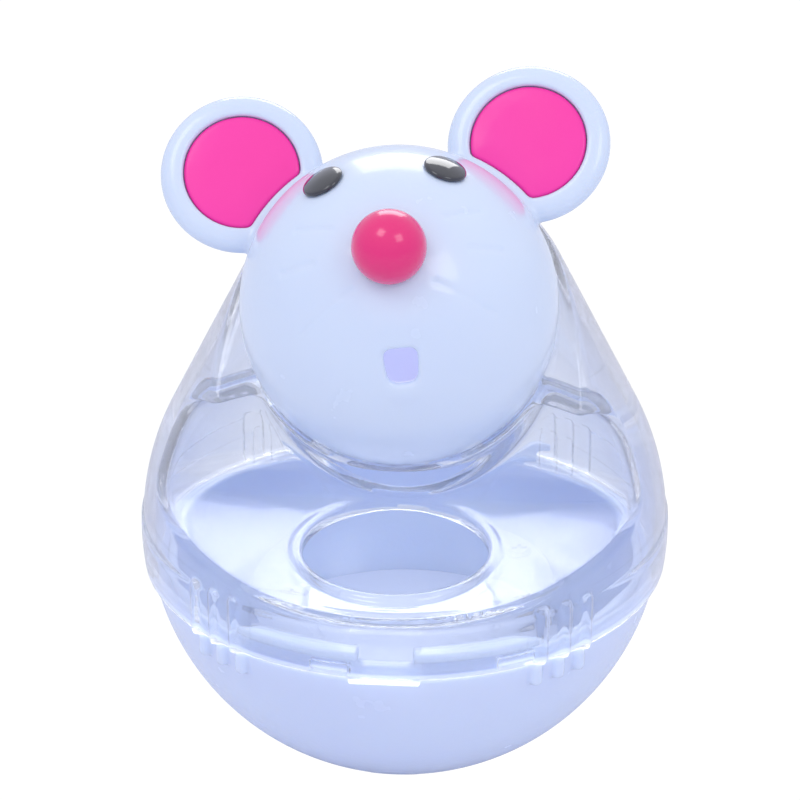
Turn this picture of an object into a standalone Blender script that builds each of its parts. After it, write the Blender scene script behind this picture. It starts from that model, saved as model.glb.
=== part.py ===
"""A weighted tumbler mouse: a treat toy that rights itself and drops treats from a hole in its lap.

A ballasted bowl carries a clear pear-shaped shell on a bayonet rim. The mouse's head sits in a
tilted socket at the top of the shell and turns about the neck's axis.

Run with: blender --background --python part.py
Units are metres, +Z is up and the mouse faces -Y. The origin is the centre of the flat foot.
"""
import math

import bmesh
import bpy
from mathutils import Matrix, Vector

MM = 0.001
GAP = 0.3 * MM                   # clearance between pieces that touch

# Body: a round-bottomed pear.
BODY_R = 42.7 * MM               # the shell's belly, a sphere about the body centre
BOWL_STEP = 0.7 * MM             # how far the bowl's outside stands back from the belly
FOOT_R = 7.0 * MM                # flat foot that the toy rests on
SHOULDER_ANGLE = math.radians(27.2)   # slope of the pear's shoulder from the vertical
CROWN_Z = 32.5 * MM              # height of the crown's centre above the body centre
SHELL_WALL = 1.8 * MM
BOWL_WALL = 2.0 * MM

# Bayonet seam between the bowl and the shell.
SEAM_DROP = 5.9 * MM             # seam below the body centre
BAND_RISE = 3.0 * MM             # band's top edge above the body centre
BAND_PROUD = 0.3 * MM            # how far the band stands out from the belly
BAND_TAPER = 0.2 * MM            # how far the band draws in to the seam, past the belly's own curve
SPIGOT_WALL = 1.6 * MM
SPIGOT_LOW = 1.3 * MM            # the spigot's height all round
SPIGOT_HIGH = 3.7 * MM           # the spigot's height at the bayonet lugs
LUG_REACH = 1.3 * MM             # how far each lug stands out
LUG_CLEAR = 0.5 * MM             # play between the spigot and the shell's lugs
LUG_THICK = 1.4 * MM
LUG_START = math.radians(6.0)    # each bowl lug runs between these angles from the front and the back
LUG_END = math.radians(36.0)
SHELL_LUG_WIDTH = 6.4 * MM
SHELL_LUG_ANGLES = (29.0, -12.0)   # degrees from the front, repeated from the back
TAB_WIDTH = 11.0 * MM
TAB_DROP = 0.4 * MM              # how far the front tab hangs below the seam

# Finger ribs, three in each group, across the seam.
RIB_ANGLES = (33.4, 39.1, 44.8)  # degrees from the front and from the back, on both sides
RIB_R = 1.0 * MM
RIB_DROP = 4.0 * MM              # length of the ribs below the seam

# Lap: a scoop in the front of the shell, with the treat hole in its floor.
LAP_SIDE = 0.2 * MM              # the scoop's side inside the belly
LAP_FLOOR_RISE = 1.0 * MM        # the lap's floor above the band's top edge
LAP_BELOW_HEAD = 12.0 * MM       # the scoop's top below the head's centre
LAP_OVERRUN = 9.3 * MM           # how far the scoop runs out past the belly's front
LAP_BACK = 0.0 * MM              # the scoop's back, from the body centre
LAP_SQUARENESS = 4.0             # 2 is an ellipse, more is squarer in side view
HOLE_R = 14.6 * MM
HOLE_FROM_FRONT = 8.1 * MM       # solid lap left in front of the hole
HOLE_LIP = 1.6 * MM              # width of the lip round the hole
HOLE_LIP_RISE = 1.2 * MM         # height of the lip above the lap's floor

# Head: a ball that turns in a tilted socket.
HEAD_R = 24.5 * MM
HEAD_WALL = 1.8 * MM
HEAD_CENTRE = Vector((0.0, -12.0, 43.0)) * MM   # from the body centre
NECK_ELEVATION = math.radians(42.0)             # how far the face looks up
HEAD_REST_TURN = math.radians(8.0)              # the head as it stands at rest
SOCKET_RIM = 6.0 * MM            # the socket's rim, behind the head's widest plane
NECK_DEPTH = 7.5 * MM            # neck flange behind the head's widest plane
FLANGE_THICK = 2.0 * MM
NECK_LEDGE = 3.3 * MM            # how far the neck flange reaches in under the head
SOCKET_STEP = 0.4 * MM           # how far the throat's top stands out past the head
SOCKET_WALL = 1.6 * MM
THROAT_NARROWING = 3.0 * MM      # how much the throat narrows towards the lap
THROAT_LENGTH = 40.0 * MM

# Face details, placed by angles from the nose.
NOSE_R = 5.5 * MM
NOSE_PROUD = 2.0 * MM            # nose centre above the face
PEG_R = 1.6 * MM
EYE_R = 3.3 * MM
EYE_THICK = 0.7 * MM
EYE_POLAR = math.radians(43.9)
EYE_SPREAD = math.radians(32.4)
MOUTH_POLAR = math.radians(40.5)
MOUTH_WIDTH = 5.0 * MM
MOUTH_HEIGHT = 5.6 * MM

# Ears: round discs on the head's rim.
EAR_R = 12.7 * MM
EAR_THICK = 4.0 * MM
EAR_SINK = 4.8 * MM              # how deep each ear's edge runs into the head
EAR_SPREAD = math.radians(43.7)
EAR_TILT = math.radians(6.0)     # the ears lean forward
EAR_RISE = 1.5 * MM              # ear centre in front of the head's widest plane
EAR_EDGE = 1.4 * MM
EAR_RIM = 3.6 * MM               # width of the rim round the pad
PAD_DEPTH = 1.5 * MM
PAD_THICK = 0.9 * MM
PAD_KEEP_OUT = 1.4 * MM          # strip left between the pad and the face

# Ballast, its cover and the screws.
BALLAST_TOP = 13.5 * MM          # top of the weight above the foot
BALLAST_CLEAR = 0.9 * MM         # space left round the weight
COVER_CLEAR = 1.5 * MM           # space left round the cover
COVER_THICK = 1.8 * MM
BOSS_R = 2.8 * MM
BOSS_INSET = 4.3 * MM            # boss centres inside the cover's edge
SCREW_COUNT = 3
SCREW_R = 1.1 * MM
SCREW_HEAD_R = 2.5 * MM
SCREW_HEAD_H = 1.5 * MM
SCREW_LENGTH = 7.0 * MM
SCREW_SLOT = 0.7 * MM
RING_THICK = 1.8 * MM
RING_LIP = 4.5 * MM              # the ring's width inside its screws
RING_OVERLAP = 2.4 * MM          # how far the ring reaches out past the neck's bore
NECK_SCREW_INSET = 5.0 * MM      # the neck screws inside the neck's bore

ROUND_STEPS = 48                 # segments of the large turned pieces
SMALL_STEPS = 24
PIN_STEPS = 10
OFFSET_TURN = (0.0, 0.0, math.pi / ROUND_STEPS)   # keeps two turned surfaces' edges from lining up

# What follows from those sizes.
BOWL_R = BODY_R - BOWL_STEP
BOWL_IN_R = BOWL_R - BOWL_WALL
BODY_Z = math.sqrt(BOWL_R ** 2 - FOOT_R ** 2)   # the body centre above the foot
SEAM_Z = BODY_Z - SEAM_DROP
BELL_R = BODY_R - SHELL_WALL                    # bore of the shell's band
SPIGOT_R = BELL_R - LUG_REACH - LUG_CLEAR
LUG_R = BELL_R - GAP
LAP_FLOOR = BAND_RISE + LAP_FLOOR_RISE          # above the body centre, as is the scoop's top
LAP_TOP = HEAD_CENTRE.z - LAP_BELOW_HEAD
LAP_FRONT = -BODY_R - LAP_OVERRUN
LAP_CENTRE = Vector((0.0, (LAP_FRONT + LAP_BACK) / 2, (LAP_FLOOR + LAP_TOP) / 2))
LAP_SIZE = Vector((BODY_R - LAP_SIDE, (LAP_BACK - LAP_FRONT) / 2, (LAP_TOP - LAP_FLOOR) / 2))
HOLE_Y = HOLE_R + HOLE_FROM_FRONT - BODY_R
HEAD_SKIRT = NECK_DEPTH - GAP
NECK_R = math.sqrt(HEAD_R ** 2 - NECK_DEPTH ** 2) - NECK_LEDGE   # bore of the neck flange
SOCKET_R = HEAD_R + SOCKET_STEP                 # outside of the throat's top
NECK_SCREW_RADIUS = NECK_R - NECK_SCREW_INSET
RING_BORE = NECK_SCREW_RADIUS - RING_LIP
EAR_REACH = HEAD_R + EAR_R - EAR_SINK           # ear centre from the neck's axis
PAD_R = EAR_R - EAR_RIM
COVER_Z = BALLAST_TOP + 3 * GAP                 # underside of the cover above the foot
COVER_R = math.sqrt(BOWL_IN_R ** 2 - (BODY_Z - COVER_Z) ** 2) - COVER_CLEAR
BOSS_RADIUS = COVER_R - BOSS_INSET              # boss centres from the axis
BALLAST_R = BOSS_RADIUS - BOSS_R - BALLAST_CLEAR


# ---------------------------------------------------------------- scene set-up
def clear_scene():
    for obj in list(bpy.data.objects):
        bpy.data.objects.remove(obj, do_unlink=True)


def new_collection(name):
    coll = bpy.data.collections.new(name)
    bpy.context.scene.collection.children.link(coll)
    return coll


def material(name, colour, roughness, metallic=0.0, transmission=0.0, alpha=1.0):
    mat = bpy.data.materials.new(name)
    mat.use_nodes = True
    shader = mat.node_tree.nodes["Principled BSDF"]
    shader.inputs["Base Color"].default_value = (*colour, 1.0)
    shader.inputs["Roughness"].default_value = roughness
    shader.inputs["Metallic"].default_value = metallic
    shader.inputs["Transmission Weight"].default_value = transmission
    shader.inputs["Alpha"].default_value = alpha
    return mat


clear_scene()
PARTS = new_collection("mouse_tumbler")
CUTTERS = new_collection("cutters")

CLEAR = material("clear_plastic", (0.86, 0.89, 0.98), 0.04, transmission=1.0, alpha=0.4)
BOWL_WHITE = material("bowl_plastic", (0.60, 0.68, 0.93), 0.25)
FACE_WHITE = material("face_plastic", (0.80, 0.84, 0.95), 0.12)
EAR_PINK = material("ear_pink", (0.95, 0.10, 0.42), 0.35)
NOSE_PINK = material("nose_pink", (0.78, 0.04, 0.22), 0.15)
BLACK = material("eye_black", (0.02, 0.02, 0.05), 0.15)
IRON = material("ballast_iron", (0.30, 0.30, 0.32), 0.5, metallic=1.0)
STEEL = material("screw_steel", (0.62, 0.62, 0.64), 0.3, metallic=1.0)


def link(name, mesh, mat=None, parent=None, place=(0.0, 0.0, 0.0), turn=(0.0, 0.0, 0.0)):
    """A part, or a cutter when it has no material."""
    obj = bpy.data.objects.new(name, mesh)
    (PARTS if mat else CUTTERS).objects.link(obj)
    obj.location = place
    obj.rotation_euler = turn
    obj.parent = parent
    if mat:
        mesh.materials.append(mat)
    else:
        obj.hide_render = True
        obj.display_type = 'WIRE'
    mesh.shade_smooth()
    mesh.set_sharp_from_angle(angle=math.radians(30))
    return obj


def empty(name, parent=None, place=(0.0, 0.0, 0.0), turn=(0.0, 0.0, 0.0)):
    obj = bpy.data.objects.new(name, None)
    PARTS.objects.link(obj)
    obj.location = place
    obj.rotation_euler = turn
    obj.parent = parent
    return obj


# ---------------------------------------------------------------- shape helpers
def arc(centre_z, radius, start, end, steps):
    """Points on an arc about (0, centre_z) in a turned profile, by elevation angle."""
    angles = [start + (end - start) * i / steps for i in range(steps + 1)]
    return [(radius * math.cos(a), centre_z + radius * math.sin(a)) for a in angles]


def turned(name, profile, mat=None, steps=ROUND_STEPS, closed=False, **where):
    """A solid of revolution about Z; the profile runs down its outer side."""
    mesh = bpy.data.meshes.new(name)
    bm = bmesh.new()
    verts = [bm.verts.new((r, 0.0, z)) for r, z in profile]
    for a, b in zip(verts, verts[1:]):
        bm.edges.new((a, b))
    if closed:
        bm.edges.new((verts[-1], verts[0]))
    bm.to_mesh(mesh)
    bm.free()
    obj = link(name, mesh, mat, **where)
    screw = obj.modifiers.new("turn", 'SCREW')
    screw.steps = steps
    screw.render_steps = steps
    screw.use_merge_vertices = True
    screw.merge_threshold = 0.00001
    screw.use_smooth_shade = True
    return obj


def cylinder(name, radius, low, high, mat=None, steps=SMALL_STEPS, top_radius=None, **where):
    mesh = bpy.data.meshes.new(name)
    bm = bmesh.new()
    bmesh.ops.create_cone(bm, cap_ends=True, segments=steps, radius1=radius,
                          radius2=radius if top_radius is None else top_radius, depth=high - low)
    bmesh.ops.translate(bm, verts=bm.verts, vec=(0.0, 0.0, (low + high) / 2))
    bm.to_mesh(mesh)
    bm.free()
    return link(name, mesh, mat, **where)


def block(name, low, high, mat=None, **where):
    low, high = Vector(low), Vector(high)
    mesh = bpy.data.meshes.new(name)
    bm = bmesh.new()
    bmesh.ops.create_cube(bm, size=1.0)
    bmesh.ops.scale(bm, verts=bm.verts, vec=high - low)
    bmesh.ops.translate(bm, verts=bm.verts, vec=(low + high) / 2)
    bm.to_mesh(mesh)
    bm.free()
    return link(name, mesh, mat, **where)


def boolean(obj, other, operation):
    mod = obj.modifiers.new(f"{operation.lower()}_{other.name}", 'BOOLEAN')
    mod.operation = operation
    mod.object = other


def cut(obj, *cutters):
    for cutter in cutters:
        boolean(obj, cutter, 'DIFFERENCE')


def join(obj, *shapes):
    for shape in shapes:
        boolean(obj, shape, 'UNION')


def weld(obj):
    """Closes the hairline slits that a cut along nearly meeting surfaces can leave."""
    mod = obj.modifiers.new("weld", 'WELD')
    mod.merge_threshold = 0.00002


def polar(radius, degrees):
    """A point at an angle from the front (-Y), counter-clockwise from above."""
    a = math.radians(degrees)
    return Vector((radius * math.sin(a), -radius * math.cos(a), 0.0))


def both_ways(angles):
    """Each angle from the front, its mirror image, and both of them from the back."""
    return [sign * a + turn for turn in (0.0, 180.0) for sign in (1, -1) for a in angles]


def sphere_drop(radius, r):
    """How far below the body centre a sphere of this radius lies at distance r from the axis."""
    return math.sqrt(radius ** 2 - r ** 2)


# ---------------------------------------------------------------- finger ribs
def add_ribs(obj, radius, low, high):
    for number, angle in enumerate(both_ways(RIB_ANGLES)):
        rib = cylinder(f"{obj.name}_rib_{number}", RIB_R, low, high, steps=PIN_STEPS,
                       place=polar(radius, angle))
        join(obj, rib)


# ---------------------------------------------------------------- bowl and ballast
def screw_places(radius):
    return [polar(radius, 360.0 * i / SCREW_COUNT) for i in range(SCREW_COUNT)]


def make_bowl():
    rim_z = SEAM_Z - GAP / 2
    rim_angle = math.asin((rim_z - BODY_Z) / BOWL_R)
    foot_angle = -math.acos(FOOT_R / BOWL_R)
    spigot_in = SPIGOT_R - SPIGOT_WALL
    inner_end = -math.acos(spigot_in / BOWL_IN_R)
    top = SEAM_Z + SPIGOT_HIGH
    lug_low = top - LUG_THICK
    inner = arc(BODY_Z, BOWL_IN_R, -math.pi / 2, inner_end, 12)
    inner[0] = (0.0, inner[0][1])
    outer = arc(BODY_Z, BOWL_R, rim_angle, foot_angle, 12)
    profile = inner + [(spigot_in, top), (LUG_R, top), (LUG_R, lug_low), (SPIGOT_R, lug_low - LUG_REACH / 4),
                       (SPIGOT_R, rim_z)] + outer + [(0.0, 0.0)]
    bowl = turned("bowl", profile, BOWL_WHITE)
    reach = BODY_R + 5 * MM
    low_top = SEAM_Z + SPIGOT_LOW
    side = LUG_R * math.cos(LUG_END)
    front = LUG_R * math.sin(LUG_START)
    cut(bowl,
        block("spigot_side_gap", (-reach, -side, low_top), (reach, side, top + reach)),
        block("spigot_front_gap", (-front, -reach, low_top), (front, reach, top + reach)))
    mid_wall = BOWL_R - BOWL_WALL / 2
    ball = arc(BODY_Z, mid_wall, math.pi / 2, -math.pi / 2, ROUND_STEPS // 2)
    ball[0], ball[-1] = (0.0, ball[0][1]), (0.0, ball[-1][1])
    limit = turned("boss_limit", ball, turn=OFFSET_TURN)
    boss_top = COVER_Z - GAP
    for number, place in enumerate(screw_places(BOSS_RADIUS)):
        boss = cylinder(f"cover_boss_{number}", BOSS_R, BODY_Z - mid_wall, boss_top, steps=PIN_STEPS, place=place)
        boolean(boss, limit, 'INTERSECT')
        join(bowl, boss)
        cut(bowl, cylinder(f"cover_pilot_{number}", SCREW_R + GAP, COVER_Z + COVER_THICK - SCREW_LENGTH,
                           boss_top + reach, steps=PIN_STEPS, place=place))
    rib_top = rim_z
    rib_low = rim_z - RIB_DROP
    add_ribs(bowl, sphere_drop(BOWL_R, BODY_Z - rib_low) + RIB_R / 2, rib_low, rib_top)
    return bowl


def make_ballast():
    clearance = 2 * GAP
    inner = BOWL_IN_R - clearance

    def seat(r):
        return BODY_Z - sphere_drop(inner, r)

    steps = [BALLAST_R * i / 4 for i in range(4, 0, -1)]
    profile = [(0.0, BALLAST_TOP), (BALLAST_R - MM, BALLAST_TOP), (BALLAST_R, BALLAST_TOP - MM)]
    profile += [(r, seat(r)) for r in steps] + [(0.0, seat(0.0))]
    turned("ballast_weight", profile, IRON, steps=SMALL_STEPS)

    top = COVER_Z + COVER_THICK
    cover = turned("ballast_cover",
                   [(0.0, top), (COVER_R - MM, top), (COVER_R, top - MM), (COVER_R - MM / 2, COVER_Z),
                    (0.0, COVER_Z)], BOWL_WHITE, steps=SMALL_STEPS, turn=OFFSET_TURN)
    for number, place in enumerate(screw_places(BOSS_RADIUS)):
        cut(cover, cylinder(f"cover_hole_{number}", SCREW_R + GAP, COVER_Z - MM, top + MM,
                            steps=PIN_STEPS, place=place))
        screw(f"cover_screw_{number + 1}", place=place + Vector((0.0, 0.0, top + GAP)))


def screw(name, **where):
    """A pan-head screw whose head stands on local z = 0, with its shank pointing down."""
    profile = [(0.0, SCREW_HEAD_H), (SCREW_HEAD_R * 0.7, SCREW_HEAD_H), (SCREW_HEAD_R, SCREW_HEAD_H * 0.45),
               (SCREW_HEAD_R, 0.0), (SCREW_R, 0.0), (SCREW_R, SCREW_R - SCREW_LENGTH),
               (0.0, -SCREW_LENGTH)]
    obj = turned(name, profile, STEEL, steps=PIN_STEPS, **where)
    for number, turn in enumerate((0.0, math.pi / 2)):
        half = (SCREW_HEAD_R * 0.6, SCREW_SLOT / 2)
        slot = block(f"{name}_slot_{number}", (-half[0], -half[1], SCREW_HEAD_H * 0.45),
                     (half[0], half[1], SCREW_HEAD_H * 2), turn=(0.0, 0.0, turn))
        slot.parent = obj
        cut(obj, slot)
    return obj


# ---------------------------------------------------------------- clear shell
def pear_profile(inset):
    """The pear's crown and belly, inset by a wall, down to the level of the body centre."""
    crown_r = BODY_R - math.sin(SHOULDER_ANGLE) * CROWN_Z - inset
    crown = arc(BODY_Z + CROWN_Z, crown_r, math.pi / 2, SHOULDER_ANGLE, 9)
    crown[0] = (0.0, crown[0][1])
    return crown + arc(BODY_Z, BODY_R - inset, SHOULDER_ANGLE, 0.0, 6)[:-1]


def lap_scoop(name, grow, parent=None):
    """A ball squared off in side view, which scoops the lap out of the pear."""
    mesh = bpy.data.meshes.new(name)
    bm = bmesh.new()
    bmesh.ops.create_uvsphere(bm, u_segments=28, v_segments=18, radius=1.0)
    bmesh.ops.rotate(bm, verts=bm.verts, matrix=Matrix.Rotation(math.pi / 2, 3, 'Y'))
    size = LAP_SIZE + Vector((grow, grow, grow))
    for vert in bm.verts:
        x, y, z = vert.co
        ring = math.hypot(y, z)
        if ring > 1e-9:
            power = 2.0 / LAP_SQUARENESS
            y = ring * math.copysign(abs(y / ring) ** power, y)
            z = ring * math.copysign(abs(z / ring) ** power, z)
        vert.co = (x * size.x, y * size.y, z * size.z)
    bm.to_mesh(mesh)
    bm.free()
    return link(name, mesh, place=LAP_CENTRE + Vector((0.0, 0.0, BODY_Z)), parent=parent)


def throat_profile(inset, top, bottom):
    """The socket's outside, narrowing down to the lap; z is negative behind the head."""
    rim_r = SOCKET_R - inset
    narrow_r = rim_r - THROAT_NARROWING
    start, end = -NECK_DEPTH - FLANGE_THICK, bottom
    steps = 6
    waist = [(rim_r + (narrow_r - rim_r) * (0.5 - 0.5 * math.cos(math.pi * i / steps)),
              start + (end - start) * i / steps) for i in range(steps + 1)]
    rim = [(rim_r, top)] if top > start else []
    return [(0.0, top)] + rim + waist + [(0.0, bottom)]


def make_shell(neck):
    bottom = SEAM_Z + GAP / 2
    band_top = BODY_Z + BAND_RISE
    band_r = BODY_R + BAND_PROUD
    foot_r = sphere_drop(BODY_R, SEAM_DROP) - BAND_TAPER
    outside = [p for p in pear_profile(0.0) if p[1] > band_top + MM / 2]
    outside += [(sphere_drop(BODY_R, BAND_RISE), band_top + MM / 10), (band_r, band_top),
                (band_r, BODY_Z), (foot_r, bottom), (0.0, bottom)]
    shell = turned("clear_shell", outside, CLEAR)

    # The scoop leaves the throat that carries the head, and a lip round the treat hole.
    floor = BODY_Z + LAP_FLOOR
    lip_top = floor + HOLE_LIP_RISE
    lip_r = HOLE_R + HOLE_LIP
    hole_at = Vector((0.0, HOLE_Y, 0.0))
    scoop = lap_scoop("lap_scoop", 0.0)
    cut(scoop, cylinder("hole_lip", lip_r, floor - 10 * MM, lip_top, place=hole_at, steps=SMALL_STEPS))
    throat = turned("throat_outside", throat_profile(0.0, 5 * MM, -THROAT_LENGTH), parent=neck)
    cut(scoop, throat)
    cut(shell, scoop)

    # The hollow inside follows the outside at the wall's thickness.
    cavity_profile = pear_profile(SHELL_WALL) + [(BELL_R, BODY_Z), (BELL_R, bottom - 5 * MM),
                                                 (0.0, bottom - 5 * MM)]
    cavity = turned("shell_cavity", cavity_profile)
    lap_skin = lap_scoop("lap_skin", SHELL_WALL)
    cut(lap_skin, turned("throat_bore", throat_profile(SOCKET_WALL, GAP - NECK_DEPTH - FLANGE_THICK,
                                                       -THROAT_LENGTH - MM), parent=neck))
    cut(cavity, lap_skin)
    cut(cavity, cylinder("shoulder_web", sweep_radius() + SHELL_WALL, -NECK_DEPTH - FLANGE_THICK, 60 * MM,
                         steps=ROUND_STEPS, parent=neck))
    cut(shell, cavity)

    # The socket: open in front of its rim, a seat for the ball, then the neck flange.
    cut(shell, turned("head_seat", head_seat_profile(), parent=neck, turn=OFFSET_TURN))
    weld(shell)
    cut(shell, cylinder("treat_hole", HOLE_R, floor - 10 * MM, lip_top + MM, place=hole_at,
                        steps=SMALL_STEPS, turn=OFFSET_TURN))

    # Bayonet lugs inside the band, the front tab and the finger ribs.
    half = SHELL_LUG_WIDTH / 2
    lug_top = SEAM_Z + SPIGOT_HIGH - LUG_THICK - LUG_REACH / 4 - GAP
    for number, angle in enumerate([a + t for t in (0.0, 180.0) for a in SHELL_LUG_ANGLES]):
        lug = block(f"shell_lug_{number}", (-half, -BELL_R - MM, bottom),
                    (half, -SPIGOT_R - GAP, lug_top), turn=(0.0, 0.0, math.radians(angle)))
        join(shell, lug)
    tab = block("front_tab", (-TAB_WIDTH / 2, -band_r, SEAM_Z - TAB_DROP),
                (TAB_WIDTH / 2, -foot_r + BAND_TAPER, band_top))
    join(shell, tab)
    add_ribs(shell, band_r - RIB_R * 0.4, bottom, band_top)
    return shell


def sweep_radius():
    """What the ears sweep, about the neck's axis, as the head turns."""
    return EAR_REACH + EAR_R + 1.5 * MM


def head_seat_profile():
    seat_r = HEAD_R + GAP
    clear_r = sweep_radius()
    start = -math.asin(SOCKET_RIM / seat_r)
    end = -math.asin(NECK_DEPTH / seat_r)
    seat = arc(0.0, seat_r, start, end, 5)
    back = -NECK_DEPTH - FLANGE_THICK - MM
    return ([(0.0, 60 * MM), (clear_r, 60 * MM), (clear_r, -SOCKET_RIM)] + seat
            + [(NECK_R, -NECK_DEPTH), (NECK_R, back), (0.0, back)])


# ---------------------------------------------------------------- head
def make_head(pivot):
    """The face dome, open at the back, with a plate that plugs into the neck."""
    skirt_angle = -math.asin(HEAD_SKIRT / HEAD_R)
    plug_r = NECK_R - GAP
    plate_low = -NECK_DEPTH - FLANGE_THICK
    web = 1.8 * MM
    inner_r = HEAD_R - HEAD_WALL
    inner_start = -math.asin((HEAD_SKIRT - web) / inner_r)
    outer = arc(0.0, HEAD_R, math.pi / 2, skirt_angle, 11)
    outer[0] = (0.0, HEAD_R)
    inner = arc(0.0, inner_r, inner_start, math.pi / 2, 8)
    inner[-1] = (0.0, inner_r)
    profile = (outer + [(plug_r, -HEAD_SKIRT), (plug_r, plate_low), (RING_BORE, plate_low),
                        (RING_BORE, plate_low + 2 * MM), (plug_r - 2 * MM, plate_low + 2 * MM),
                        (plug_r - 2 * MM, -HEAD_SKIRT + web)] + inner)
    head = turned("head_shell", profile, FACE_WHITE, steps=ROUND_STEPS, parent=pivot)

    for side, name in ((-1, "left"), (1, "right")):
        place, turn = ear_frame(side)
        ear = turned(f"ear_{name}_disc", ear_profile(), steps=SMALL_STEPS, parent=pivot, place=place, turn=turn)
        trim = cylinder(f"ear_{name}_trim", HEAD_R - HEAD_WALL * 0.6, -3 * EAR_THICK, 3 * EAR_THICK,
                        steps=ROUND_STEPS, parent=pivot)
        cut(ear, trim)
        join(head, ear)
        weld(head)
        recess = cylinder(f"ear_{name}_recess", PAD_R, EAR_THICK / 2 - PAD_DEPTH, EAR_THICK,
                          parent=pivot, place=place, turn=turn)
        cut(recess, keep_out(f"ear_{name}_strip", 0.0, pivot))
        cut(head, recess)
        pad = cylinder(f"ear_pad_{name}", PAD_R - GAP, EAR_THICK / 2 - PAD_DEPTH + GAP,
                       EAR_THICK / 2 - PAD_DEPTH + GAP + PAD_THICK, mat=EAR_PINK, parent=pivot,
                       place=place, turn=turn)
        cut(pad, keep_out(f"pad_{name}_strip", GAP, pivot))

    for number, place in enumerate(screw_places(NECK_SCREW_RADIUS)):
        boss = cylinder(f"neck_boss_{number}", BOSS_R, plate_low + MM, plate_low + SCREW_LENGTH - MM,
                        steps=PIN_STEPS, parent=pivot, place=place)
        join(head, boss)
        cut(head, cylinder(f"neck_pilot_{number}", SCREW_R + GAP, plate_low - MM,
                           plate_low + SCREW_LENGTH - 2 * MM, steps=PIN_STEPS, parent=pivot, place=place))

    cut(head, cylinder("nose_bore", PEG_R + GAP, HEAD_R - 4 * HEAD_WALL, HEAD_R + MM, steps=PIN_STEPS,
                       parent=pivot))
    for side, name in ((-1, "left"), (1, "right")):
        turn = face_turn(EYE_POLAR, side * EYE_SPREAD)
        cut(head, cylinder(f"eye_{name}_bore", PEG_R / 2 + GAP, HEAD_R - 3 * HEAD_WALL, HEAD_R + MM,
                           steps=PIN_STEPS, parent=pivot, turn=turn))
    cut(head, *mouth_cutters(pivot))
    return head


def face_turn(polar_angle, azimuth):
    """The rotation that takes local +Z to a point of the face; azimuth is from the head's up, to +X."""
    direction = Vector((math.sin(polar_angle) * math.sin(azimuth), math.sin(polar_angle) * math.cos(azimuth),
                        math.cos(polar_angle)))
    return direction.to_track_quat('Z', 'Y').to_euler()


def mouth_cutters(pivot):
    """A slot with a square top and a round bottom."""
    turn = (MOUTH_POLAR, 0.0, 0.0)
    half = MOUTH_WIDTH / 2
    round_r = half * 0.9
    top = MOUTH_HEIGHT / 2
    deep, high = HEAD_R - 3 * HEAD_WALL, HEAD_R + MM
    slot = block("mouth_slot", (-half, -top + round_r, deep), (half, top, high), parent=pivot, turn=turn)
    centre = Matrix.Rotation(MOUTH_POLAR, 3, 'X') @ Vector((0.0, -top + round_r, 0.0))
    bottom = cylinder("mouth_round", round_r, deep, high, steps=SMALL_STEPS // 2, parent=pivot, turn=turn,
                      place=centre)
    return slot, bottom


def ear_frame(side):
    """Where an ear stands on the head's rim, leaning forward."""
    a = side * EAR_SPREAD
    outward = Vector((math.sin(a), math.cos(a), 0.0))
    place = outward * EAR_REACH + Vector((0.0, 0.0, EAR_RISE))
    lean = Vector((-outward.x * math.sin(EAR_TILT), -outward.y * math.sin(EAR_TILT), math.cos(EAR_TILT)))
    return place, lean.to_track_quat('Z', 'Y').to_euler()


def ear_profile():
    half = EAR_THICK / 2
    edge = EAR_EDGE
    return [(0.0, half), (EAR_R - edge, half), (EAR_R - edge * 0.3, half - edge * 0.3), (EAR_R, half - edge),
            (EAR_R, edge - half), (EAR_R - edge * 0.3, edge * 0.3 - half), (EAR_R - edge, -half), (0.0, -half)]


def keep_out(name, grow, pivot):
    return cylinder(name, HEAD_R + PAD_KEEP_OUT + grow, -EAR_R, EAR_R, steps=ROUND_STEPS, parent=pivot)


def make_face(pivot):
    nose_z = HEAD_R + NOSE_PROUD
    seat_z = HEAD_R + GAP
    start = math.asin((seat_z - nose_z) / NOSE_R)
    ball = arc(nose_z, NOSE_R, math.pi / 2, start, 9)
    ball[0] = (0.0, nose_z + NOSE_R)
    peg_low = HEAD_R - 2 * HEAD_WALL
    turned("nose", ball + [(PEG_R, seat_z), (PEG_R, peg_low), (0.0, peg_low)], NOSE_PINK, steps=SMALL_STEPS,
           parent=pivot)
    for side, name in ((-1, "left"), (1, "right")):
        turn = face_turn(EYE_POLAR, side * EYE_SPREAD)
        rise = HEAD_R + GAP
        drop = HEAD_R - math.sqrt(HEAD_R ** 2 - EYE_R ** 2)
        peg = PEG_R / 2
        low = HEAD_R - 1.6 * HEAD_WALL
        turned(f"eye_{name}",
               [(0.0, rise + EYE_THICK), (EYE_R * 0.75, rise + EYE_THICK - drop * 0.6), (EYE_R, rise - drop + 0.25 * MM),
                (EYE_R, rise - drop), (EYE_R * 0.5, rise - drop * 0.2), (peg, rise), (peg, low), (0.0, low)],
               BLACK, steps=SMALL_STEPS // 2, parent=pivot, turn=turn)


def make_retainer(pivot):
    """The ring behind the neck flange, screwed to the head's plate."""
    top = -NECK_DEPTH - FLANGE_THICK - GAP
    low = top - RING_THICK
    outer = NECK_R + RING_OVERLAP
    ring = turned("neck_retainer", [(outer, top), (outer, low), (RING_BORE, low), (RING_BORE, top)], FACE_WHITE,
                  steps=SMALL_STEPS, closed=True, parent=pivot, turn=OFFSET_TURN)
    for number, place in enumerate(screw_places(NECK_SCREW_RADIUS)):
        cut(ring, cylinder(f"retainer_hole_{number}", SCREW_R + GAP, low - MM, top + MM, steps=PIN_STEPS,
                           parent=pivot, place=place))
        screw(f"neck_screw_{number + 1}", parent=pivot, place=place + Vector((0.0, 0.0, low - GAP)),
              turn=(math.pi, 0.0, 0.0))


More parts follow.
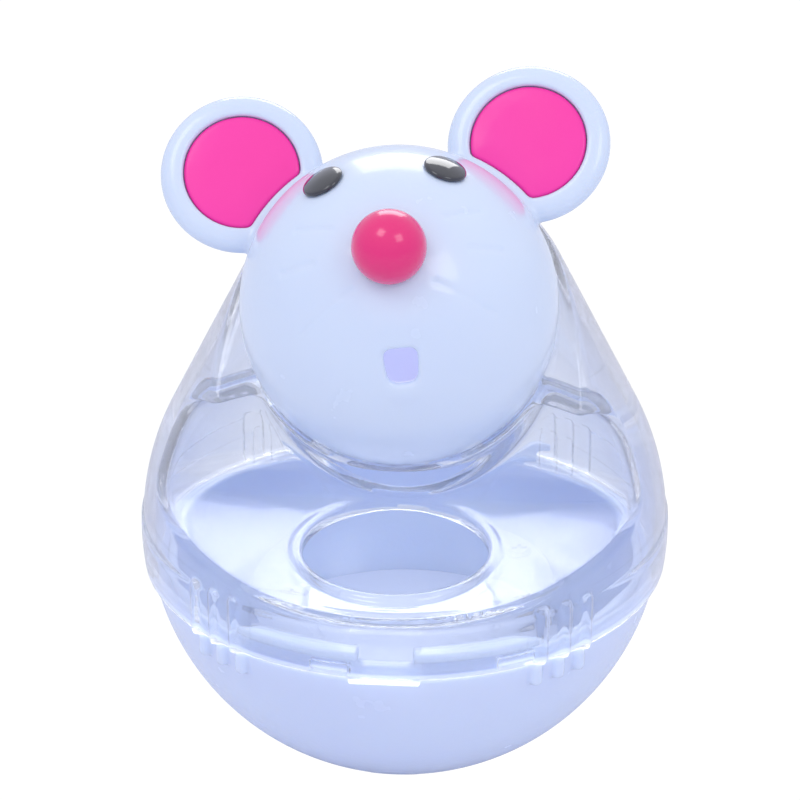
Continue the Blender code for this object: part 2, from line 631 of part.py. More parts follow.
# ---------------------------------------------------------------- the toy
def main():
    neck = empty("neck_axis", place=HEAD_CENTRE + Vector((0.0, 0.0, BODY_Z)),
                 turn=(math.pi / 2 - NECK_ELEVATION, 0.0, 0.0))
    head_pivot = empty("head_pivot", parent=neck, turn=(0.0, 0.0, HEAD_REST_TURN))
    make_bowl()
    make_ballast()
    make_shell(neck)
    make_head(head_pivot)
    make_face(head_pivot)
    make_retainer(head_pivot)


main()
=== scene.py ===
"""Looks for the weighted tumbler mouse: fine meshes, materials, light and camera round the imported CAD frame.

The large mouldings are meshed from implicit shapes. A shape is a function that takes points, as an
array of millimetres from the body's centre, and gives their distance outside the surface. Unions
and cuts of such distances blend with a radius, which rounds every edge the way a mould does.
"""

import math

import bmesh
import bpy
import numpy as np
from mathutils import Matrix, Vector


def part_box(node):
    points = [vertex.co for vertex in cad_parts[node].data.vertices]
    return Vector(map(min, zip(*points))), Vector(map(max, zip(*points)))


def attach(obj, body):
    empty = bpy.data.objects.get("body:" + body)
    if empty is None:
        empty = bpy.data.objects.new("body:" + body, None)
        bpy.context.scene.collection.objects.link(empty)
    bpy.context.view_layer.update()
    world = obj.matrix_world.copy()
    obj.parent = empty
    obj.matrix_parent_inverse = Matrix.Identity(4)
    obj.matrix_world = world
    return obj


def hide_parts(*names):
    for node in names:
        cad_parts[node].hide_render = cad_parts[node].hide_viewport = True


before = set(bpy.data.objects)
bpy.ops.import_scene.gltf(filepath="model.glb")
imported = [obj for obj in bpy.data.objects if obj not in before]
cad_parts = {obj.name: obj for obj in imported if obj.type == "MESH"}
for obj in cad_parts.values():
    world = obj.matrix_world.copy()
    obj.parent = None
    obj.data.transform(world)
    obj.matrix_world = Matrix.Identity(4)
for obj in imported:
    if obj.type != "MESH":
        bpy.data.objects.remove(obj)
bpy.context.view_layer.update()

MM = 0.001

# The sizes that the CAD model is built on, in millimetres. The body's centre is the middle of its ball.
GAP = 0.3                        # clearance between pieces that touch
BODY_R = 42.7                    # the belly, a sphere about the body's centre
BOWL_STEP = 0.7                  # how far the bowl's outside stands back from the belly
FOOT_R = 7.0
SHOULDER = math.radians(27.2)    # the shoulder's slope from the vertical
CROWN_Z = 32.5                   # the crown's centre above the body's centre
SHELL_WALL = 1.8
BOWL_WALL = 2.0
SEAM = -5.9                      # the seam, from the body's centre
BAND_TOP = 3.0                   # the band's top edge, above the body's centre
BAND_PROUD = 0.3                 # how far the band stands out from the belly
SPIGOT_WALL = 1.6
SPIGOT_TOPS = (1.3, 3.7)         # above the seam: between the lugs, and at them
LUG_REACH = 1.3
LUG_CLEAR = 0.5
LUG_THICK = 1.4
LUG_FROM, LUG_TO = 6.0, 36.0     # degrees from the front and from the back
SHELL_LUGS = (29.0, -12.0, 209.0, 168.0)
SHELL_LUG_WIDTH = 6.4
TAB_WIDTH = 11.0
TAB_DROP = 0.4
RIB_ANGLES = (33.4, 39.1, 44.8)
RIB_R = 1.0
RIB_DROP = 4.0
HEAD_R = 24.5
HEAD_WALL = 1.8
HEAD_CENTRE = np.array((0.0, -12.0, 43.0))
NECK_ELEVATION = math.radians(42.0)
HEAD_TURN = math.radians(8.0)
LAP_SIDE = 0.2                   # the scoop's side inside the belly
LAP_FLOOR_RISE = 1.0             # the lap's floor above the band
LAP_BELOW_HEAD = 12.0            # the scoop's top below the head's centre
LAP_DEPTH = 52.0                 # the scoop, from past the belly's front back to the body's centre
HOLE_R = 14.6
HOLE_FROM_FRONT = 8.1
LIP_WIDTH = 1.6
LIP_RISE = 1.2
SOCKET_STEP = 0.4
SOCKET_WALL = 1.6
SOCKET_RIM = 6.0                 # behind the head's widest plane, as are the next two
NECK_DEPTH = 7.5
FLANGE_BACK = 9.5
NECK_R = 20.0
THROAT_NARROWING = 3.0
THROAT_LENGTH = 40.0
EAR_R = 12.7
EAR_THICK = 4.0
EAR_SINK = 4.8
EAR_SPREAD = math.radians(43.7)
EAR_TILT = math.radians(6.0)
EAR_RISE = 1.5
EAR_RIM = 3.6
PAD_DEPTH = 1.5
PAD_THICK = 0.9
PAD_KEEP_OUT = 1.4
PAD_FIT = 0.12                   # gap drawn round each pad
NOSE_R = 5.5
NOSE_PROUD = 2.0
PEG_R = 1.6
EYE_R = 3.3
EYE_PEG_R = 0.78
EYE_POLAR = math.radians(43.9)
EYE_SPREAD = math.radians(32.4)
MOUTH_POLAR = math.radians(40.5)
MOUTH_HALF = (2.5, 2.8)
SCREW_COUNT = 3
PILOT_R = 1.4                    # a screw's shank and its clearance
BOSS_R = 2.8
PILOT_DEPTH = 5.2
RING_THICK = 1.8
RING_INSET = 9.5                 # the ring's bore inside the neck's bore

# What follows from those sizes.
BOWL_R = BODY_R - BOWL_STEP
BODY_Z = math.sqrt(BOWL_R ** 2 - FOOT_R ** 2)
CROWN_R = BODY_R - math.sin(SHOULDER) * CROWN_Z
BAND_R = BODY_R + BAND_PROUD
BORE_R = BODY_R - SHELL_WALL
SPIGOT_R = BORE_R - LUG_REACH - LUG_CLEAR
LUG_R = BORE_R - GAP
LAP_FLOOR = BAND_TOP + LAP_FLOOR_RISE
LAP_TOP = HEAD_CENTRE[2] - LAP_BELOW_HEAD
LAP_CENTRE = (0.0, -LAP_DEPTH / 2, (LAP_FLOOR + LAP_TOP) / 2)
LAP_SIZE = (BODY_R - LAP_SIDE, LAP_DEPTH / 2, (LAP_TOP - LAP_FLOOR) / 2)
HOLE_Y = HOLE_R + HOLE_FROM_FRONT - BODY_R
SOCKET_R = HEAD_R + SOCKET_STEP
EAR_REACH = HEAD_R + EAR_R - EAR_SINK
PAD_R = EAR_R - EAR_RIM
SWEEP_R = EAR_REACH + EAR_R + 1.5        # clear of what the ears sweep as the head turns
WEB_R = SWEEP_R + SHELL_WALL

# Roundings of moulded edges and corners, in millimetres.
KEEN, CRISP, EASED, SOFT = 0.2, 0.3, 0.4, 0.8


# ---------------------------------------------------------------- distances
def length(*parts):
    """The length of a vector given as its parts."""
    return np.sqrt(sum(p * p for p in parts))


def both(a, b, blend=0.0):
    """Inside both shapes, with the edge between them rounded."""
    if blend == 0.0:
        return np.maximum(a, b)
    h = np.clip(blend - np.abs(a - b), 0.0, None) / blend
    return np.maximum(a, b) + h * h * blend / 4


def either(a, b, blend=0.0):
    """Inside either shape, with the corner between them filled."""
    return -both(-a, -b, blend)


def minus(a, b, blend=0.0):
    """Inside the first shape and outside the second."""
    return both(a, -b, blend)


def ball(p, centre, radius):
    """A sphere."""
    return length(p[0] - centre[0], p[1] - centre[1], p[2] - centre[2]) - radius


def round_cone(p, low_r, high_r, height):
    """Two balls on the Z axis, the lower one about the origin, and the cone that touches both."""
    lean = (low_r - high_r) / height
    slope = math.sqrt(1.0 - lean * lean)
    r, z = length(p[0], p[1]), p[2]
    along = -r * lean + z * slope
    side = r * slope + z * lean - low_r
    low = length(r, z) - low_r
    high = length(r, z - height) - high_r
    return np.where(along < 0.0, low, np.where(along > slope * height, high, side))


def post(p, x, y, radius, low, high, blend=CRISP):
    """An upright cylinder."""
    side = length(p[0] - x, p[1] - y) - radius
    return both(both(side, p[2] - high, blend), low - p[2], blend)


def box(p, low, high, turn=0.0, blend=CRISP):
    """A box, turned about Z by an angle in degrees."""
    a = math.radians(turn)
    x = p[0] * math.cos(a) + p[1] * math.sin(a)
    y = p[1] * math.cos(a) - p[0] * math.sin(a)
    d = both(low[0] - x, x - high[0], blend)
    for axis, value in ((1, y), (2, p[2])):
        d = both(d, both(low[axis] - value, value - high[axis], blend), blend)
    return d


def to_head(p, turn=0.0):
    """The points in the head's own frame: +Z out of the face, +Y over the brow."""
    x, y, z = (p[i] - HEAD_CENTRE[i] for i in range(3))
    s, c = math.sin(NECK_ELEVATION), math.cos(NECK_ELEVATION)
    u = (x, y * s + z * c, z * s - y * c)
    a = math.cos(turn), math.sin(turn)
    return u[0] * a[0] + u[1] * a[1], u[1] * a[0] - u[0] * a[1], u[2]


# ---------------------------------------------------------------- surfaces from distances
def cell(fine):
    return fine * 1.0


def crossing_cells(values):
    """The mean of the edge crossings in each cell that the surface passes through, in cells."""
    inside = values < 0.0
    total = np.zeros(tuple(n - 1 for n in values.shape) + (3,), np.float32)
    count = np.zeros(tuple(n - 1 for n in values.shape), np.float32)
    full = [slice(None)] * 3
    for axis in range(3):
        a, b = list(full), list(full)
        a[axis], b[axis] = slice(None, -1), slice(1, None)
        a, b = tuple(a), tuple(b)
        cut = inside[a] != inside[b]
        at = np.where(cut, values[a] / np.where(cut, values[a] - values[b], 1.0), 0.0)
        others = [i for i in range(3) if i != axis]
        for first in (0, 1):
            for second in (0, 1):
                take = [slice(None)] * 3
                take[others[0]] = slice(first, first + total.shape[others[0]])
                take[others[1]] = slice(second, second + total.shape[others[1]])
                take = tuple(take)
                hit = cut[take]
                count += hit
                total[..., axis] += at[take]
                total[..., others[0]] += hit * first
                total[..., others[1]] += hit * second
    return total, count


def surface_net(shape, low, high, size):
    """Corner points and four-sided faces of the surface where the shape's distance is zero."""
    counts = [int(math.ceil((high[i] - low[i]) / size)) + 1 for i in range(3)]
    axes = [(low[i] + size * np.arange(counts[i])).astype(np.float32) for i in range(3)]
    values = np.empty(counts, np.float32)
    step = 24
    for start in range(0, counts[0], step):
        part = axes[0][start:start + step]
        grid = np.meshgrid(part, axes[1], axes[2], indexing="ij")
        values[start:start + step] = shape(grid)
    total, count = crossing_cells(values)
    used = count > 0
    index = np.full(used.shape, -1, np.int64)
    index[used] = np.arange(int(used.sum()))
    where = np.argwhere(used)
    points = (where + total[used] / count[used][:, None]) * size + np.array(low)
    inside = values < 0.0
    faces = []
    for axis in range(3):
        i, j = (axis + 1) % 3, (axis + 2) % 3
        a = [slice(1, -1)] * 3
        b = [slice(1, -1)] * 3
        a[axis], b[axis] = slice(0, -1), slice(1, None)
        here, there = inside[tuple(a)], inside[tuple(b)]
        for outward in (True, False):
            spots = np.argwhere((here & ~there) if outward else (~here & there))
            if not len(spots):
                continue
            spots[:, i] += 1
            spots[:, j] += 1
            corners = []
            for di, dj in ((0, 0), (-1, 0), (-1, -1), (0, -1)):
                c = spots.copy()
                c[:, i] += di
                c[:, j] += dj
                corners.append(index[c[:, 0], c[:, 1], c[:, 2]])
            quad = np.stack(corners, 1)
            faces.append(quad if outward else quad[:, ::-1])
    return points, np.concatenate(faces)


def onto(shape, points, size, rounds=4):
    """Moves the points along the distance's slope until they lie on the surface."""
    e = size * 0.2
    for _ in range(rounds):
        p = [points[:, i] for i in range(3)]
        d = shape(p)
        slope = []
        for i in range(3):
            ahead, behind = list(p), list(p)
            ahead[i], behind[i] = p[i] + e, p[i] - e
            slope.append((shape(ahead) - shape(behind)) / (2 * e))
        slope = np.stack(slope, 1)
        steep = np.maximum((slope ** 2).sum(1), 0.25)
        move = slope * (d / steep)[:, None]
        far = np.maximum(np.sqrt((move ** 2).sum(1)) / (size * 0.5), 1.0)
        points = points - move / far[:, None]
    return points


def relax(points, faces, share=0.5):
    """Evens out the net: each point moves towards the mean of its neighbours."""
    total = np.zeros_like(points)
    count = np.zeros(len(points))
    for k in range(4):
        for other in (faces[:, (k + 1) % 4], faces[:, (k - 1) % 4]):
            for i in range(3):
                total[:, i] += np.bincount(faces[:, k], points[other, i], len(points))
            count += np.bincount(faces[:, k], minlength=len(points))
    return points + (total / count[:, None] - points) * share


def moulding(name, shape, low, high, size):
    """A piece meshed from its shape, in the row frame."""
    size = cell(size)
    points, faces = surface_net(shape, low, high, size)
    for _ in range(2):
        points = onto(shape, relax(points, faces), size)
    mesh = bpy.data.meshes.new(name)
    points = (points + (0.0, 0.0, BODY_Z)) * MM
    mesh.vertices.add(len(points))
    mesh.vertices.foreach_set("co", points.astype(np.float32).ravel())
    mesh.loops.add(faces.size)
    mesh.loops.foreach_set("vertex_index", faces.astype(np.int32).ravel())
    mesh.polygons.add(len(faces))
    mesh.polygons.foreach_set("loop_start", np.arange(0, faces.size, 4, dtype=np.int32))
    mesh.update(calc_edges=True)
    mesh.validate()
    mesh.shade_smooth()
    obj = bpy.data.objects.new(name, mesh)
    bpy.context.scene.collection.objects.link(obj)
    return obj


# ---------------------------------------------------------------- the clear shell
def neck(p):
    """Distance from the neck's axis, and height along it from the head's widest plane."""
    x, y, z = to_head(p)
    return length(x, y), z


def lap_scoop(p, grow=0.0):
    """A ball squared off in side view, with its distance corrected for the stretch."""
    x, y, z = (p[i] - LAP_CENTRE[i] for i in range(3))
    a, b, c = (LAP_SIZE[i] + grow for i in range(3))
    y, z = np.abs(y), np.abs(z)
    s = np.maximum(((y / b) ** 4 + (z / c) ** 4) ** 0.25, 1e-4)
    g = np.maximum(length(s, x / a), 1e-4)
    slope = length(y ** 3 / (b ** 4 * s ** 3), z ** 3 / (c ** 4 * s ** 3))
    return (g - 1.0) / length(x / (a * a * g), s / g * slope)


def throat(p, inset, top):
    """The socket's outside, narrowing down to the lap."""
    rho, z = neck(p)
    t = np.clip((-FLANGE_BACK - z) / (THROAT_LENGTH - FLANGE_BACK), 0.0, 1.0)
    radius = SOCKET_R - inset - THROAT_NARROWING * (0.5 - 0.5 * np.cos(math.pi * t))
    return both(both(rho - radius, z - top), -THROAT_LENGTH - inset - z)


def head_seat(p):
    """The space in front of the socket's rim, the ball's seat and the neck's bore."""
    rho, z = neck(p)
    front = both(rho - SWEEP_R, -SOCKET_RIM - z)
    seat = both(ball(p, HEAD_CENTRE, HEAD_R + GAP), -NECK_DEPTH - z, CRISP)
    bore = both(rho - NECK_R, -FLANGE_BACK - 3.0 - z)
    return either(either(front, seat, CRISP), bore, CRISP)


def folded_posts(p, radius, across, low, high, blend):
    """The finger ribs, drawn once in a quarter and folded to all four."""
    q = (np.abs(p[0]), np.abs(p[1]), p[2])
    turns = [math.radians(a) for a in RIB_ANGLES]
    ribs = [post(q, radius * math.sin(a), radius * math.cos(a), across, low, high, blend) for a in turns]
    return np.minimum.reduce(ribs)


def shell_outside(p):
    """The pear and its band, with the lap scooped out round the throat."""
    outer = round_cone(p, BODY_R, CROWN_R, CROWN_Z)
    outer = np.minimum(outer, both(ball(p, (0.0, 0.0, 0.0), BAND_R), p[2] - BAND_TOP, 0.5))
    lip = post(p, 0.0, HOLE_Y, HOLE_R + LIP_WIDTH, -20.0, LAP_FLOOR + LIP_RISE, SOFT)
    scoop = minus(lap_scoop(p), lip, 1.2)
    scoop = minus(scoop, throat(p, 0.0, 5.0), 2.0)
    return minus(outer, scoop, 1.4)


def shell_inside(p):
    """The hollow behind the outer wall, kept clear of the lap's skin and of the head's socket."""
    cavity = round_cone(p, BODY_R - SHELL_WALL, CROWN_R - SHELL_WALL, CROWN_Z)
    cavity = either(cavity, both(length(p[0], p[1]) - BORE_R, p[2]), EASED)
    skin = minus(lap_scoop(p, SHELL_WALL), throat(p, SOCKET_WALL, GAP - FLANGE_BACK), 1.6)
    cavity = minus(cavity, skin, 1.2)
    rho, z = neck(p)
    return minus(cavity, both(rho - WEB_R, -FLANGE_BACK - z), 1.0)


def front_tab(p):
    """The tab that bridges the seam at the front, with its shallow window."""
    half = TAB_WIDTH / 2
    tab = box(p, (-half, -BAND_R, SEAM - TAB_DROP), (half, 0.5 - BODY_R, BAND_TOP), 0.0, EASED)
    pane = half * 0.66
    window = box(p, (-pane, -50.0, SEAM + 0.6), (pane, 0.25 - BAND_R, SEAM + 3.4))
    return minus(tab, window, CRISP)


def clear_shell(p):
    foot = SEAM + GAP / 2
    solid = minus(shell_outside(p), shell_inside(p))
    solid = minus(solid, head_seat(p), 0.7)
    solid = minus(solid, post(p, 0.0, HOLE_Y, HOLE_R, -20.0, 20.0), SOFT)
    solid = both(solid, foot - p[2], 0.5)

    half = SHELL_LUG_WIDTH / 2
    lug_top = SEAM + SPIGOT_TOPS[1] - LUG_THICK - 2 * GAP
    for angle in SHELL_LUGS:
        lug = box(p, (-half, -BORE_R - 0.6, foot), (half, -SPIGOT_R - GAP, lug_top), angle)
        solid = either(solid, lug, EASED)
    solid = either(solid, front_tab(p), EASED)
    ribs = folded_posts(p, BAND_R - 0.4, RIB_R, foot, BAND_TOP + 0.8, SOFT)
    return either(solid, ribs, 0.5)


# ---------------------------------------------------------------- the bowl and what it holds
def bayonet(p, rim):
    """The spigot inside the shell's bore, high where the lugs stand out from it."""
    r = length(p[0], p[1])
    low_top, high_top = SEAM + SPIGOT_TOPS[0], SEAM + SPIGOT_TOPS[1]
    side = LUG_R * math.cos(math.radians(LUG_TO)) - np.abs(p[1])
    front = LUG_R * math.sin(math.radians(LUG_FROM)) - np.abs(p[0])
    high = both(both(side, front, EASED), p[2] - high_top, EASED)
    spigot = both(both(r - SPIGOT_R, np.minimum(p[2] - low_top, high), CRISP), rim - 1.5 - p[2])
    lug = both(both(r - LUG_R, high_top - LUG_THICK - p[2], CRISP), high, CRISP)
    return spigot, lug


def bowl(p):
    r = length(p[0], p[1])
    from_centre = length(r, p[2])
    rim = SEAM - GAP / 2
    outer = both(both(from_centre - BOWL_R, p[2] - rim, 0.5), -BODY_Z - p[2], 0.6)
    spigot, lug = bayonet(p, rim)
    solid = either(either(outer, spigot, CRISP), lug, CRISP)
    hollow = both(from_centre - BOWL_R + BOWL_WALL, r - SPIGOT_R + SPIGOT_WALL, 1.5)
    solid = minus(solid, hollow, EASED)

    cover_low, _ = cad_heights("ballast_cover")
    for x, y in cover_screws():
        boss = post(p, x, y, BOSS_R, -BODY_R, cover_low - GAP)
        solid = either(solid, both(boss, from_centre - BOWL_R + BOWL_WALL / 2), 1.5)
        solid = minus(solid, post(p, x, y, PILOT_R, cover_low - PILOT_DEPTH, 0.0), KEEN)

    rib_low = rim - RIB_DROP
    rib_at = math.sqrt(BOWL_R ** 2 - rib_low ** 2) + RIB_R / 2
    solid = either(solid, folded_posts(p, rib_at, RIB_R, rib_low, rim, SOFT), 0.5)
    foot_ring = both(np.abs(r - FOOT_R * 0.62) - 0.35, p[2] + BODY_Z - 0.35, KEEN)
    return minus(solid, foot_ring, CRISP)


def cad_heights(node):
    """A node's lowest and highest point above the body's centre, in millimetres."""
    low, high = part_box(node)
    return low.z / MM - BODY_Z, high.z / MM - BODY_Z


def cad_radius(node):
    """Half of a turned node's width, in millimetres."""
    low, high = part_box(node)
    return (high.x - low.x) / 2 / MM


def cad_middle(node):
    """The middle of a node's box, in millimetres from the body's centre."""
    low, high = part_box(node)
    return (low + high) / 2 / MM - Vector((0.0, 0.0, BODY_Z))


def cover_screws():
    """The places of the cover's screws, seen from above."""
    return [cad_middle(f"cover_screw_{i + 1}")[:2] for i in range(SCREW_COUNT)]


def neck_screws(turn=0.0):
    """The places of the neck's screws, seen along the neck."""
    return [to_head(cad_middle(f"neck_screw_{i + 1}"), turn)[:2] for i in range(SCREW_COUNT)]


def ballast_weight(p):
    r = length(p[0], p[1])
    _, high = cad_heights("ballast_weight")
    radius = cad_radius("ballast_weight")
    seat = length(r, p[2]) - BOWL_R + BOWL_WALL + 2 * GAP + 0.05
    return both(both(seat, p[2] - high, 1.2), r - radius, 1.0)


def ballast_cover(p):
    r = length(p[0], p[1])
    low, high = cad_heights("ballast_cover")
    radius = cad_radius("ballast_cover")
    disc = both(both(r - radius, p[2] - high, 0.9), low - p[2], 0.5)
    groove = both(radius * 0.55 - r, r - radius * 0.6)
    disc = minus(disc, both(groove, high - 0.4 - p[2]), CRISP)
    for x, y in cover_screws():
        disc = minus(disc, post(p, x, y, PILOT_R, -BODY_R, 0.0), CRISP)
    return disc


def neck_retainer(p):
    rho, z = neck(p)
    top = -FLANGE_BACK - GAP
    flat = both(z - top, top - RING_THICK - z, EASED)
    ring = both(both(rho - NECK_R - 2.3, NECK_R - RING_INSET - rho, 0.5), flat, EASED)
    a, b, _ = to_head(p)
    for x, y in neck_screws():
        ring = minus(ring, length(a - x, b - y) - PILOT_R - 0.05, CRISP)
    return ring


# ---------------------------------------------------------------- the head
def on_face(angle, turn):
    """The direction at an angle from the nose, turned from the brow towards +X."""
    return (math.sin(angle) * math.sin(turn), math.sin(angle) * math.cos(turn), math.cos(angle))


def stroke(u, a, b):
    """Distance, in millimetres on the face, from the line between two directions."""
    a, b = HEAD_R * np.array(a), HEAD_R * np.array(b)
    along = b - a
    d = [HEAD_R * u[i] - a[i] for i in range(3)]
    t = np.clip(sum(d[i] * along[i] for i in range(3)) / (along @ along), 0.0, 1.0)
    return length(*(d[i] - along[i] * t for i in range(3)))


def dent(distance, width, depth):
    """A soft hollow along a line."""
    return depth * np.exp(-(distance / width) ** 2)


# Three whisker grooves on each cheek: angle from the nose and turn from the brow, at each end.
WHISKERS = ((24.0, 58.0, 38.0, 64.0), (28.0, 88.0, 42.0, 88.0), (19.0, 128.0, 43.0, 122.0))
BELOW = math.pi                  # the turn from the brow that leads to the chin


def ear_place(q, side):
    """Distance from the ear's own axis, and height in front of its middle plane."""
    a = side * EAR_SPREAD
    out = (math.sin(a), math.cos(a))
    lean = (-out[0] * math.sin(EAR_TILT), -out[1] * math.sin(EAR_TILT), math.cos(EAR_TILT))
    d = (q[0] - out[0] * EAR_REACH, q[1] - out[1] * EAR_REACH, q[2] - EAR_RISE)
    w = sum(d[i] * lean[i] for i in range(3))
    return np.sqrt(np.maximum(d[0] ** 2 + d[1] ** 2 + d[2] ** 2 - w ** 2, 0.0)), w


def pad_outline(q, side, inset):
    """The pad's outline, a circle with its side to the face cut off, and the height as above."""
    rho, w = ear_place(q, side)
    from_face = HEAD_R + PAD_KEEP_OUT + inset - length(q[0], q[1])
    return both(rho - PAD_R + inset, from_face, 0.6), w


def face_relief(q):
    """The face's ball with its whisker grooves, its muzzle and the swelling over the chin."""
    r = length(*q)
    u = tuple(c / np.maximum(r, 1.0) for c in q)
    face = r - HEAD_R
    for start, from_turn, end, to_turn in WHISKERS:
        for side in (1, -1):
            a = on_face(math.radians(start), side * math.radians(from_turn))
            b = on_face(math.radians(end), side * math.radians(to_turn))
            face = face + dent(stroke(u, a, b), 0.55, 0.16)
    for degrees, half_turn, width, rise in ((25.0, 0.12, 3.2, 0.45), (51.0, 0.03, 1.6, 0.25)):
        polar = math.radians(degrees)
        swelling = stroke(u, on_face(polar, BELOW - half_turn), on_face(polar, BELOW + half_turn))
        face = face - dent(swelling, width, rise)
    return face


def with_ears(solid, q):
    """Both ears added, each dished towards its middle and cut out for its pad."""
    r = length(*q)
    for side in (-1, 1):
        rho, w = ear_place(q, side)
        thick = EAR_THICK / 2 - 0.012 * np.clip(EAR_R - 4.0 - rho, 0.0, None)
        ear = both(rho - EAR_R, np.abs(w) - thick, 2.6)
        solid = either(solid, minus(ear, r - HEAD_R + 0.6 * HEAD_WALL), 1.4)
        outline, w = pad_outline(q, side, 0.0)
        solid = minus(solid, both(outline, EAR_THICK / 2 - PAD_DEPTH - w, EASED), 0.6)
    return solid


def mouth_slot(q):
    """The mouth, a rounded slot through the face that narrows towards the chin."""
    c, s = math.cos(MOUTH_POLAR), math.sin(MOUTH_POLAR)
    x, y, z = q[0], q[1] * c + q[2] * s, q[2] * c - q[1] * s
    wide, tall = MOUTH_HALF
    narrowing = 0.45 * np.clip((tall - y) / (2 * tall), 0.0, 1.0) ** 2
    return both(both(np.abs(x) - wide + narrowing, np.abs(y) - tall, 1.6), 6.0 - z)


def eye_place(q, side):
    """Distance from the eye's own axis, and height along it from the head's centre."""
    d = on_face(EYE_POLAR, side * EYE_SPREAD)
    along = sum(q[i] * d[i] for i in range(3))
    return np.sqrt(np.maximum(length(*q) ** 2 - along * along, 0.0)), along


def head_shell(p):
    q = to_head(p, HEAD_TURN)
    rho, z = length(q[0], q[1]), q[2]
    skirt = -NECK_DEPTH + GAP
    solid = both(face_relief(q), skirt - z, 0.6)
    plug = both(both(rho - NECK_R + GAP, -FLANGE_BACK - z, CRISP), z - skirt - 2.0)
    solid = with_ears(either(solid, plug, CRISP), q)
    solid = minus(solid, both(length(*q) - HEAD_R + HEAD_WALL, skirt + HEAD_WALL - z, 0.5), CRISP)
    recess = both(rho - NECK_R + GAP + 2.0, both(z - skirt - HEAD_WALL, -NECK_DEPTH - z, CRISP), CRISP)
    solid = minus(solid, recess)
    solid = minus(solid, both(rho - 3.0, z + NECK_DEPTH - 1.0), CRISP)
    for x, y in neck_screws(HEAD_TURN):
        side = length(q[0] - x, q[1] - y)
        boss = both(side - BOSS_R, both(-FLANGE_BACK + 1.0 - z, z + FLANGE_BACK - 6.0))
        solid = either(solid, boss, CRISP)
        solid = minus(solid, both(side - PILOT_R, z + FLANGE_BACK - PILOT_DEPTH), KEEN)

    solid = minus(solid, mouth_slot(q), SOFT)
    solid = minus(solid, both(rho - PEG_R - GAP, -z), KEEN)
    for side in (-1, 1):
        around, along = eye_place(q, side)
        solid = minus(solid, both(around - EYE_PEG_R - 0.32, 10.0 - along), KEEN)
    return solid


def ear_pad(side):
    """A pad whose face sinks a little towards its edge."""
    def shape(p):
        outline, w = pad_outline(to_head(p, HEAD_TURN), side, PAD_FIT)
        low = EAR_THICK / 2 - PAD_DEPTH + GAP
        crown = PAD_THICK - 0.25 * np.clip(1.0 + outline / 4.0, 0.0, 1.0) ** 2
        return both(both(outline, low - w, KEEN), w - low - crown, 0.5)
    return shape


def nose(p):
    """A ball on a peg, with a flat where it sits on the face."""
    q = to_head(p, HEAD_TURN)
    rho = length(q[0], q[1])
    centre = HEAD_R + NOSE_PROUD
    bead = both(length(rho, q[2] - centre) - NOSE_R, HEAD_R + GAP + 0.02 - q[2], CRISP)
    peg = both(both(rho - PEG_R + 0.02, q[2] - centre), HEAD_R - 2 * HEAD_WALL - q[2], CRISP)
    return either(bead, peg, 0.1)


def eye(side):
    """A domed button on a thin peg."""
    def shape(p):
        q = to_head(p, HEAD_TURN)
        around, along = eye_place(q, side)
        dome = HEAD_R + GAP + 0.75 - 0.05 * around ** 2
        button = both(both(around - EYE_R, along - dome, EASED), HEAD_R + 0.15 - length(*q), KEEN)
        peg = both(both(around - EYE_PEG_R, along - HEAD_R - 0.4), HEAD_R - 1.6 * HEAD_WALL - along, KEEN)
        return either(button, peg, 0.1)
    return shape


# ---------------------------------------------------------------- shader building
def put(tree, socket, value):
    """Feeds a socket from another node's output, or sets its value."""
    if isinstance(value, bpy.types.NodeSocket):
        tree.links.new(value, socket)
    else:
        socket.default_value = value


def new_material(name):
    """A material with a Principled shader."""
    mat = bpy.data.materials.new(name)
    mat.use_nodes = True
    tree = mat.node_tree
    return mat, tree, tree.nodes["Principled BSDF"]


def place_in_frame(tree):
    """The point's place in the row frame, in metres."""
    return tree.nodes.new("ShaderNodeTexCoord").outputs["Object"]


def coordinate(tree, vector, axis):
    split = tree.nodes.new("ShaderNodeSeparateXYZ")
    tree.links.new(vector, split.inputs["Vector"])
    return split.outputs[axis]


def vector_maths(tree, operation, *values):
    node = tree.nodes.new("ShaderNodeVectorMath")
    node.operation = operation
    for socket, value in zip(node.inputs, values):
        put(tree, socket, value)
    return node.outputs


def maths(tree, operation, *values):
    """A sum on numbers; each value is a number or another node's output."""
    node = tree.nodes.new("ShaderNodeMath")
    node.operation = operation
    for socket, value in zip(node.inputs, values):
        put(tree, socket, value)
    return node.outputs["Value"]


def mixed(tree, factor, a, b):
    """Two colours mixed; each is three numbers or another node's output."""
    mix = tree.nodes.new("ShaderNodeMix")
    mix.data_type = 'RGBA'
    for name, value in (("Factor", factor), ("A", a), ("B", b)):
        put(tree, mix.inputs[name], (*value, 1.0) if isinstance(value, tuple) else value)
    return mix.outputs["Result"]


def layered(tree, factor, first, second):
    """Two shaders mixed: the first where the factor is 0, the second where it is 1."""
    mix = tree.nodes.new("ShaderNodeMixShader")
    for socket, value in zip(mix.inputs, (factor, first, second)):
        put(tree, socket, value)
    return mix.outputs["Shader"]


def ray_is(tree, kind):
    return tree.nodes.new("ShaderNodeLightPath").outputs[kind]


def noise(tree, scale, detail=2.0):
    """Noise whose scale is in waves per metre of the row frame."""
    node = tree.nodes.new("ShaderNodeTexNoise")
    node.inputs["Scale"].default_value = scale
    node.inputs["Detail"].default_value = detail
    tree.links.new(place_in_frame(tree), node.inputs["Vector"])
    return node.outputs["Fac"]


def spread(tree, factor, low, high, start=0.3, end=0.7):
    """Part of the factor's range stretched between two colours or two numbers."""
    ramp = tree.nodes.new("ShaderNodeMapRange")
    ramp.inputs["From Min"].default_value = start
    ramp.inputs["From Max"].default_value = end
    tree.links.new(factor, ramp.inputs["Value"])
    if isinstance(low, tuple):
        return mixed(tree, ramp.outputs["Result"], low, high)
    ramp.inputs["To Min"].default_value = low
    ramp.inputs["To Max"].default_value = high
    return ramp.outputs["Result"]


